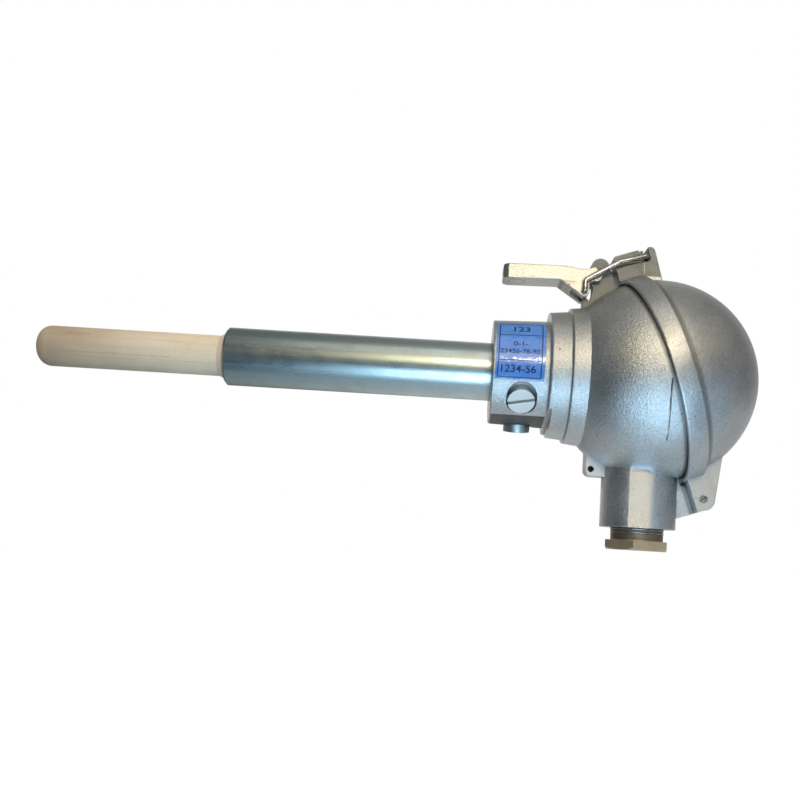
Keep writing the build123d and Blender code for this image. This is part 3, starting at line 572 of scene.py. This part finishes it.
# Its zone is painted shade on the underside of the handle
cast_lever = cast_material(
    "cast_lever_metal", color=(0.66, 0.64, 0.60), bright=(0.86, 0.84, 0.80),
    grime_and_shade=(0.18, 0.16, 0.14), roughness=0.40, grain_scale=2200.0, bump=0.45, edge_round=0.0007,
    zones=[((2, -7, 35), (30, 7, 35.95), (0.46, 0.43, 0.38), 0.8, 0.1)])

# The ejector's round print under the handle
print_middle = (0.0078, 0.0, 0.0358)
print_r = 0.0031
print_width = 0.00028
tree, shader, place, metal = opened(cast_lever)
from_middle = add_node(tree, "ShaderNodeVectorMath", {0: place, 1: print_middle},
                       operation="DISTANCE").outputs["Value"]
off_print = math(tree, "ABSOLUTE", math(tree, "SUBTRACT", from_middle, print_r))
print_line = math(tree, "SUBTRACT", 1.0, math(tree, "DIVIDE", off_print, print_width), clamp=True)
relief = shader.inputs["Normal"].links[0].from_node
height = relief.inputs["Height"].links[0].from_socket
tree.links.new(math(tree, "SUBTRACT", height, math(tree, "MULTIPLY", print_line, 1.4)),
               relief.inputs["Height"])
tree.links.new(mix_color(tree, math(tree, "MULTIPLY", print_line, 0.45), metal,
                         (0.14, 0.13, 0.11, 1)), shader.inputs["Base Color"])
dress("latch_lever", "lever", cast_lever)

# The bail: hard-drawn bright wire, bent to a loop and sprung into the lever's eyes. The part that
# lies along the catch is darkened by a painted dim reflection.


def tone_box(material, low, high, soft, strength, tone):
    """Gives a material another tone in a box, whose corners are in millimetres."""
    tree, shader, place, metal = opened(material)
    part = math(tree, "MULTIPLY", box_mask(tree, place, low, high, soft, soft), strength)
    tree.links.new(mix_color(tree, part, metal, (*tone, 1)), shader.inputs["Base Color"])


bright_wire = plated_material(
    "bright_wire_metal", color=(0.58, 0.59, 0.60), shadow=(0.48, 0.48, 0.48), roughness=0.20,
    streak_axis=0, streak_scale=1800.0, edge_round=0.0004, streak_depth=0.03)
# The dark part along the catch is a painted reflection
tone_box(bright_wire, (50, -9, 30), (70, 9, 60), 0.002, 0.8, (0.16, 0.155, 0.15))
dress("latch_bail", "bail", bright_wire, crease=60.0)

# The two clamp screws: slotted cheese heads in turned steel, zinc plated, which grip the holding
# tube. The one in the collar's flank is painted brighter, and the one below the collar is painted
# darker grey for the shade it lies in: lit and shaded copies of one plating.
lit_zinc = plated_material(
    "lit_zinc_metal", color=(1.0, 1.0, 0.99), shadow=(0.93, 0.95, 0.94), roughness=0.34,
    streak_axis=0, streak_scale=2600.0, edge_round=0.0003)
shaded_zinc = plated_material(
    "shaded_zinc_metal", color=(0.60, 0.68, 0.66), shadow=(0.40, 0.46, 0.44), roughness=0.38,
    streak_axis=0, streak_scale=2600.0, edge_round=0.0003)
dress("clamp_screw_1", "base", lit_zinc)
dress("clamp_screw_2", "base", shaded_zinc)

# The plate on the collar: glossy foil printed blue, wrapped round the front and glued on, not
# quite flat, so that the window's reflection breaks up on it. Plain figures stand for its print.
blue_plate, tree, shader = node_material("blue_plate_print")
place = add_node(tree, "ShaderNodeTexCoord").outputs["Object"]
fade = noise(tree, place, 180.0, 3.0, 0.6)
tree.links.new(mix_color(tree, ranged(tree, fade, 0.35, 0.65, 0.0, 1.0), (0.05, 0.20, 0.66, 1),
                         (0.065, 0.24, 0.74, 1)), shader.inputs["Base Color"])
tree.links.new(ranged(tree, fade, 0.3, 0.7, 0.24, 0.34), shader.inputs["Roughness"])
shader.inputs["Coat Weight"].default_value = 1.0
shader.inputs["Coat IOR"].default_value = 1.6
shader.inputs["Coat Roughness"].default_value = 0.05
creased = add_node(tree, "ShaderNodeBump", {
    "Strength": 0.4, "Distance": 0.0005, "Height": noise(tree, place, 260.0, 2.5, 0.55),
})
tree.links.new(creased.outputs[0], shader.inputs["Normal"])
tree.links.new(creased.outputs[0], shader.inputs["Coat Normal"])

plate_low, plate_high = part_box("calibration_label")
plate_start, plate_end = plate_low[0], plate_high[0]
plate_bottom, plate_top = radians(-16.3), radians(59.0)
collar_start_r, collar_slope = 0.0196, 0.0007 / 0.0209
foil = 0.00015
middle_r = collar_start_r + (plate_start + plate_end) / 2 * collar_slope + foil

# Where the plate starts and ends along the tube, at its top and at its bottom edge
top_edge = (0.00135, 0.01925)
bottom_edge = (0.0007, 0.0187)

# It is cut into narrow rows, so that it bends round the collar
row_height = 0.0004
first_cut = 0.00011


def wrapped(name, mesh, lift):
    """A flat mesh, x along the tube and y round it, laid a little askew on the collar."""
    sheet = bmesh.new()
    sheet.from_mesh(mesh)
    bmesh.ops.remove_doubles(sheet, verts=sheet.verts, dist=1e-7)
    rows = int((plate_top - plate_bottom) * middle_r / row_height)
    for row in range(rows + 1):
        cut_y = plate_bottom * middle_r + row_height * row + first_cut
        bmesh.ops.bisect_plane(sheet, geom=sheet.verts[:] + sheet.edges[:] + sheet.faces[:],
                               plane_co=(0, cut_y, 0), plane_no=(0, 1, 0))
    for corner in sheet.verts:
        angle = corner.co.y / middle_r
        rise = (angle - plate_bottom) / (plate_top - plate_bottom)
        left, end = [low + (high - low) * rise for low, high in zip(bottom_edge, top_edge)]
        corner.co.x = left + (end - left) * (corner.co.x - plate_start) / (plate_end - plate_start)
        radius = collar_start_r + corner.co.x * collar_slope + corner.co.z + lift
        corner.co = (corner.co.x, -radius * cos(angle), radius * sin(angle))
    made = bpy.data.meshes.new(name)
    sheet.to_mesh(made)
    sheet.free()
    piece = linked(name, made)
    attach(piece, "base")
    return piece


def flat_strips(rectangles, thickness):
    """Thin flat blocks on z = 0, as one mesh."""
    strips = bmesh.new()
    for x_low, x_high, y_low, y_high in rectangles:
        block = bmesh.ops.create_cube(strips, size=1.0)["verts"]
        for corner in block:
            corner.co = (x_low + (corner.co.x + 0.5) * (x_high - x_low),
                         y_low + (corner.co.y + 0.5) * (y_high - y_low),
                         (corner.co.z + 0.5) * thickness)
    mesh = bpy.data.meshes.new("strips")
    strips.to_mesh(mesh)
    strips.free()
    return mesh


plate = wrapped("printed_plate", flat_strips([(plate_start, plate_end, plate_bottom * middle_r,
                                               plate_top * middle_r)], foil), 0.0)
plate.data.materials.append(blue_plate)
plate.data.shade_smooth()
plate.data.set_sharp_from_angle(angle=radians(40))
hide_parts("calibration_label")

# Its frame, two dividing lines and four rows of figures, in dark blue ink. A row has its figures,
# its middle along the tube, its angle round the collar, its width and its height.
ink, tree, shader = node_material("print_ink")
place = add_node(tree, "ShaderNodeTexCoord").outputs["Object"]
tree.links.new(mix_color(tree, ranged(tree, noise(tree, place, 900.0), 0.4, 0.6, 0.0, 1.0),
                         (0.006, 0.012, 0.075, 1), (0.012, 0.025, 0.12, 1)),
               shader.inputs["Base Color"])
tree.links.new(ranged(tree, noise(tree, place, 900.0), 0.3, 0.7, 0.25, 0.4),
               shader.inputs["Roughness"])
ink_line = 0.00036
divider_line = 0.8 * ink_line
ink_depth = 0.000004
lines_lift, figures_lift = 0.000012, 0.000014
heavier_strokes = 0.014
frame_left, frame_right = 0.0026, 0.0183
frame_top, frame_bottom, divider_1, divider_2 = [
    radians(angle) * middle_r for angle in (55.4, -14.4, 33.9, 3.6)]
lines = flat_strips([
    (frame_left, frame_left + ink_line, frame_bottom, frame_top),
    (frame_right - ink_line, frame_right, frame_bottom, frame_top),
    (frame_left, frame_right, frame_top - ink_line, frame_top),
    (frame_left, frame_right, frame_bottom, frame_bottom + ink_line),
    (frame_left, frame_right, divider_1, divider_1 + divider_line),
    (frame_left, frame_right, divider_2, divider_2 + divider_line),
], ink_depth)
wrapped("plate_lines", lines, foil + lines_lift).data.materials.append(ink)
for number, (figures, middle, row_angle, width, tall) in enumerate((
    ("123", 0.0107, 44.4, 0.0058, 0.0031),
    ("0-1-", 0.0104, 23.0, 0.0052, 0.0020),
    ("23456-78-90", 0.0103, 14.0, 0.0141, 0.0019),
    ("1234-56", 0.0101, -4.9, 0.0124, 0.0028),
), start=1):
    text = bpy.data.curves.new(f"row_{number}", "FONT")
    text.body = figures
    text.offset = heavier_strokes
    typed = linked(f"row_{number}_typed", text)
    bpy.context.view_layer.update()
    glyphs = bpy.data.meshes.new_from_object(
        typed.evaluated_get(bpy.context.evaluated_depsgraph_get()))
    bpy.data.objects.remove(typed)
    reach_x = [v.co.x for v in glyphs.vertices]
    reach_y = [v.co.y for v in glyphs.vertices]
    across = width / (max(reach_x) - min(reach_x))
    upward = tall / (max(reach_y) - min(reach_y))
    for v in glyphs.vertices:
        v.co = (middle + (v.co.x - (max(reach_x) + min(reach_x)) / 2) * across,
                radians(row_angle) * middle_r + (v.co.y - (max(reach_y) + min(reach_y)) / 2)
                * upward, 0.0)
    wrapped(f"plate_row_{number}", glyphs, foil + figures_lift).data.materials.append(ink)

# The holding tube: drawn steel, bright zinc plated, which the clamp screws hold in the collar. It
# has long drawing marks and pale rubs along it, and it is darker towards its far end.
zinc_tube = plated_material(
    "zinc_tube_metal", color=(0.62, 0.72, 0.74), shadow=(0.56, 0.62, 0.60), roughness=0.27,
    streak_axis=0, streak_scale=900.0, edge_round=0.0003)
tree, shader, place, metal = opened(zinc_tube)
rubs = scratch_mask(tree, place, [(-85.3, 1.2), (-78.5, 0.45), (-71.1, -0.2)], 0.30)
for points, width in (([(-92.0, 2.6), (-60.0, 2.2)], 0.12), ([(-55.0, 3.4), (-20.0, 3.7)], 0.10),
                      ([(-48.0, -3.6), (-30.0, -3.9)], 0.12)):
    rubs = math(tree, "MAXIMUM", rubs, scratch_mask(tree, place, points, width))
along = add_node(tree, "ShaderNodeSeparateXYZ", {0: place}).outputs["X"]
far_darkening = math(tree, "ADD", ranged(tree, along, -0.105, -0.055, 0.75, 0.45),
               ranged(tree, along, -0.055, -0.005, 0.0, -0.40))
metal = mix_color(tree, far_darkening, metal, (0.26, 0.33, 0.34, 1))
tree.links.new(mix_color(tree, math(tree, "MULTIPLY", rubs, 0.5), metal, (0.90, 0.90, 0.86, 1)),
               shader.inputs["Base Color"])
relief = shader.inputs["Normal"].links[0].from_node
height = relief.inputs["Height"].links[0].from_socket
grit = noise(tree, place, 2400.0, 2.0)
tree.links.new(math(tree, "SUBTRACT", math(tree, "ADD", height, math(tree, "MULTIPLY", grit, 0.5)),
                    rubs), relief.inputs["Height"])
dress("holding_tube", "base", zinc_tube)

# The ceramic protection tube, slip-cast and fired without glaze, with brownish streaks, dark
# scratches, a darker and browner tip, and the pinkish fire cement that holds it in the steel tube.


def fired_material(name, color, tint, roughness, fleck):
    """Fired ceramic or cement: chalky, cloudy, with fine specks."""
    material, tree, shader = node_material(name)
    place = add_node(tree, "ShaderNodeTexCoord").outputs["Object"]
    cloud = noise(tree, place, 60.0, 4.0, 0.6)
    speck = noise(tree, place, 1500.0, 2.0)
    base = mix_color(tree, ranged(tree, cloud, 0.35, 0.7, 0.0, 1.0), (*color, 1), (*tint, 1))
    dotted = mix_color(tree, ranged(tree, speck, 0.66, 0.74, 0.0, fleck), base,
                       (0.30, 0.24, 0.18, 1))
    tree.links.new(dotted, shader.inputs["Base Color"])
    tree.links.new(ranged(tree, cloud, 0.3, 0.7, roughness - 0.06, roughness + 0.06),
                   shader.inputs["Roughness"])
    relief = add_node(tree, "ShaderNodeBump", {
        "Strength": 0.4, "Distance": 0.00008, "Height": noise(tree, place, 900.0, 4.0, 0.6),
    })
    tree.links.new(relief.outputs[0], shader.inputs["Normal"])
    return material


ceramic_tube = fired_material(
    "ceramic_tube_body", color=(0.84, 0.74, 0.60), tint=(0.74, 0.62, 0.46), roughness=0.55,
    fleck=0.35)
tree, shader, place, body = opened(ceramic_tube)
axes = add_node(tree, "ShaderNodeSeparateXYZ", {0: place})
drawn = add_node(tree, "ShaderNodeMapping", {"Vector": place, "Scale": (0.03, 1.0, 1.0)})
streak = noise(tree, drawn.outputs[0], 700.0, 4.0, 0.6)
body = mix_color(tree, ranged(tree, streak, 0.52, 0.72, 0.0, 0.45), body, (0.52, 0.38, 0.24, 1))
tip_darkening = math(tree, "MULTIPLY", ranged(tree, axes.outputs["X"], -0.118, -0.168, 0.0, 1.0),
             ranged(tree, noise(tree, place, 45.0, 3.0), 0.3, 0.6, 0.65, 1.0), clamp=True)
body = mix_color(tree, tip_darkening, body, (0.42, 0.33, 0.24, 1))
marks = math(tree, "MAXIMUM", scratch_mask(tree, place, [(-161, -2.7), (-120, -2.8)], 0.20),
             scratch_mask(tree, place, [(-160, 4.4), (-151, 4.1)], 0.75))
body = mix_color(tree, math(tree, "MULTIPLY", marks, 0.5), body, (0.26, 0.17, 0.11, 1))
tree.links.new(body, shader.inputs["Base Color"])
dress("protection_tube", "base", ceramic_tube)
cement = fired_material(
    "cement_body", color=(0.74, 0.62, 0.54), tint=(0.66, 0.54, 0.46), roughness=0.80, fleck=0.5)
dress("tube_cement", "base", cement)

# The cable gland: a turned brass pressure screw, aged to a brown olive and darker at its neck,
# screwed into the boss over a steel washer and a rubber seal.
aged_brass = plated_material(
    "aged_brass_metal", color=(0.76, 0.58, 0.38), shadow=(0.52, 0.39, 0.25), roughness=0.50,
    streak_axis=2, streak_scale=1500.0, edge_round=0.0004)
tone_box(aged_brass, (45, -13, -60.4), (72, 13, -50), 0.0002, 0.75, (0.18, 0.14, 0.10))
dress("gland_screw", "base", aged_brass)

# The turns of its thread that show between the boss and the hexagon, greyed by oil
thread_tree, ends_in, ends_out = new_group(
    "thread_turns", [("Radius", "Float"), ("Wire", "Float"), ("Pitch", "Float"), ("Turns", "Int"),
                     ("Top", "Vector"), ("Material", "Material")],
    [("Geometry", "Geometry")], kind="GeometryNodeTree")
ring = add_node(thread_tree, "GeometryNodeCurvePrimitiveCircle", {
    "Resolution": 96, "Radius": ends_in.outputs["Radius"]})
profile = add_node(thread_tree, "GeometryNodeCurvePrimitiveCircle", {
    "Resolution": 8, "Radius": ends_in.outputs["Wire"]})
turn = add_node(thread_tree, "GeometryNodeCurveToMesh", {
    "Curve": ring.outputs["Curve"], "Profile Curve": profile.outputs["Curve"]})
drop = add_node(thread_tree, "ShaderNodeCombineXYZ", {
    "Z": math(thread_tree, "MULTIPLY", ends_in.outputs["Pitch"], -1.0)})
row = add_node(thread_tree, "GeometryNodeMeshLine", {
    "Count": ends_in.outputs["Turns"], "Start Location": ends_in.outputs["Top"],
    "Offset": drop.outputs[0]})
placed = add_node(thread_tree, "GeometryNodeInstanceOnPoints", {
    "Points": row.outputs["Mesh"], "Instance": turn.outputs["Mesh"]})
real = add_node(thread_tree, "GeometryNodeRealizeInstances", {0: placed.outputs["Instances"]})
coated = add_node(thread_tree, "GeometryNodeSetMaterial", {
    "Geometry": real.outputs[0], "Material": ends_in.outputs["Material"]})
thread_tree.links.new(coated.outputs[0], ends_out.inputs[0])
cut_thread = plated_material(
    "cut_thread_metal", color=(0.50, 0.50, 0.46), shadow=(0.30, 0.28, 0.22), roughness=0.24,
    streak_axis=2, streak_scale=1500.0, edge_round=0.0001)
seed = linked("thread_seed", bpy.data.meshes.new("thread_seed"))
turns = seed.modifiers.new("turns", "NODES")
turns.node_group = thread_tree
socket_ids = {socket.name: socket.identifier for socket in thread_tree.interface.items_tree}
for label, value in (("Radius", 0.00978), ("Wire", 0.00026), ("Pitch", 0.0013), ("Turns", 2),
                     ("Top", (0.0581, 0.0, -0.0565)), ("Material", cut_thread)):
    turns[socket_ids[label]] = value
bpy.context.view_layer.update()
thread = linked("gland_thread", bpy.data.meshes.new_from_object(
    seed.evaluated_get(bpy.context.evaluated_depsgraph_get())))
bpy.data.objects.remove(seed)
thread.data.shade_smooth()
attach(thread, "base")

# The gland's washer and seal: a plated steel ring and a ring of the gasket's black rubber, which
# the pressure screw squeezes onto the cable.
zinc_screw = plated_material(
    "zinc_screw_metal", color=(0.90, 0.92, 0.92), shadow=(0.74, 0.74, 0.70), roughness=0.27,
    streak_axis=0, streak_scale=2600.0, edge_round=0.0003)
dress("gland_washer", "base", zinc_screw)
dress("gland_seal", "base", rubber)

# Inside the head: a glazed steatite block on two feet, with brass terminals and small screws in
# the washer's zinc. The two-bore insulator and the thermocouple's wires run down the tube.
block_ceramic = fired_material(
    "block_ceramic_body", color=(0.84, 0.82, 0.77), tint=(0.78, 0.75, 0.69), roughness=0.30,
    fleck=0.2)
dress("terminal_block", "base", block_ceramic)
insulator = fired_material(
    "insulator_body", color=(0.84, 0.80, 0.73), tint=(0.76, 0.70, 0.62), roughness=0.60,
    fleck=0.2)
dress("insulator_rod", "base", insulator)
terminal_brass = plated_material(
    "terminal_brass_metal", color=(0.74, 0.62, 0.36), shadow=(0.60, 0.48, 0.26), roughness=0.28,
    streak_axis=1, streak_scale=1500.0, edge_round=0.0003)
for number in (1, 2):
    dress(f"terminal_{number}", "base", terminal_brass)
    dress(f"block_screw_{number}", "base", zinc_screw)
for number in (1, 2, 3, 4):
    dress(f"terminal_screw_{number}", "base", zinc_screw)
element_alloy = plated_material(
    "element_wire_metal", color=(0.50, 0.47, 0.43), shadow=(0.36, 0.32, 0.28), roughness=0.38,
    streak_axis=0, streak_scale=1500.0, edge_round=0.0002)
for name in ("element_wire_1", "element_wire_2", "measuring_junction"):
    dress(name, "base", element_alloy)
